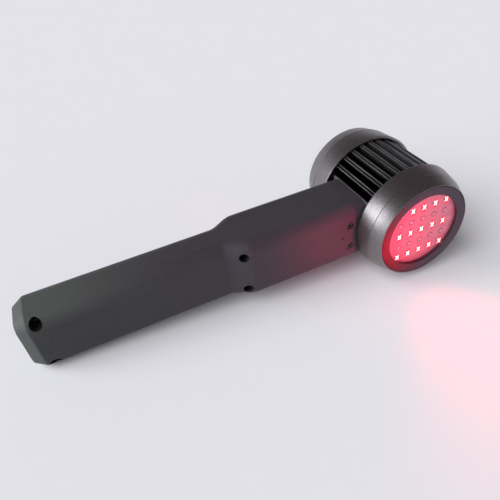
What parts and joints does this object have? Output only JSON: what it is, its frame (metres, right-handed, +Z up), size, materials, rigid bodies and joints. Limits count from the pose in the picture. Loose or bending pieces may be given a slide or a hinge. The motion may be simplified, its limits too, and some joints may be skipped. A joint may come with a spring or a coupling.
{
  "type": "laser therapy device",
  "caption": "Handheld hammer-shaped light therapy device: a finned round head with a grid of diodes on a long two-shell handle.",
  "frame": {"origin": "middle of the bounding box at its base, where the head rings and the butt of the handle rest on a table", "axes": "+X along the handle to the head, +Y from the emitting face to the back of the head, +Z up"},
  "size_m": [0.2628, 0.0824, 0.0716],
  "materials": {
    "ring_metal": "bead-blasted, dark grey anodised",
    "cover_metal": "bead-blasted, dark grey anodised",
    "fin_metal": "black anodised extrusion",
    "face_metal": "satin, dark anodised",
    "plate_metal": "plain milled",
    "handle_nylon": "fine-grained matte",
    "collar_nylon": "fine-grained matte",
    "white_plate": "satin white",
    "red_lens": "clear red, lit",
    "clear_lens": "clear",
    "board_white": "white solder mask on aluminium",
    "board_green": "solder mask",
    "screw_steel": "black oxide",
    "cell_wrap": "shrink film",
    "black_plastic": "satin",
    "display_gloss": "polished dark window",
    "button_rubber": "smooth matte",
    "cable_jacket": "smooth matte"
  },
  "bodies": {
    "device": {"front_ring": "ring_metal", "rear_ring": "ring_metal", "rear_cover": "cover_metal", "heat_sink": "fin_metal", "face_ring": "face_metal", "mounting_plate": "plate_metal", "handle_front_shell": "handle_nylon", "handle_rear_shell": "handle_nylon", "neck_collar": "collar_nylon", "aperture_plate": "white_plate", "red_diode_01": "red_lens", "red_diode_02": "red_lens", "red_diode_03": "red_lens", "red_diode_04": "red_lens", "red_diode_05": "red_lens", "red_diode_06": "red_lens", "red_diode_07": "red_lens", "red_diode_08": "red_lens", "red_diode_09": "red_lens", "red_diode_10": "red_lens", "red_diode_11": "red_lens", "red_diode_12": "red_lens", "red_diode_13": "red_lens", "red_diode_14": "red_lens", "red_diode_15": "red_lens", "infrared_diode_01": "clear_lens", "infrared_diode_02": "clear_lens", "infrared_diode_03": "clear_lens", "infrared_diode_04": "clear_lens", "infrared_diode_05": "clear_lens", "infrared_diode_06": "clear_lens", "infrared_diode_07": "clear_lens", "infrared_diode_08": "clear_lens", "infrared_diode_09": "clear_lens", "infrared_diode_10": "clear_lens", "emitter_board": "board_white", "control_board": "board_green", "driver_board": "board_green", "board_screw_1": "screw_steel", "board_screw_2": "screw_steel", "cover_screw_1": "screw_steel", "cover_screw_2": "screw_steel", "cover_screw_3": "screw_steel", "plate_screw_1": "screw_steel", "plate_screw_2": "screw_steel", "shell_screw_1": "screw_steel", "shell_screw_2": "screw_steel", "shell_screw_3": "screw_steel", "shell_screw_4": "screw_steel", "collar_screw_1": "screw_steel", "collar_screw_2": "screw_steel", "battery_cell_1": "cell_wrap", "battery_cell_2": "cell_wrap", "charge_socket": "black_plastic", "display_module": "black_plastic", "display_window": "display_gloss", "emitter_cable": "cable_jacket"},
    "power_button": {"power_button": "button_rubber"},
    "mode_button": {"mode_button": "button_rubber"}
  },
  "joints": [
    {"name": "power_button_press", "type": "slide", "parent": "device", "child": "power_button", "axis": [0, -1, 0], "range_m": [0, 0.0006], "stiffness_N_per_m": 1200, "springref_m": -0.0004},
    {"name": "mode_button_press", "type": "slide", "parent": "device", "child": "mode_button", "axis": [0, -1, 0], "range_m": [0, 0.0006], "stiffness_N_per_m": 1200, "springref_m": -0.0004}
  ]
}
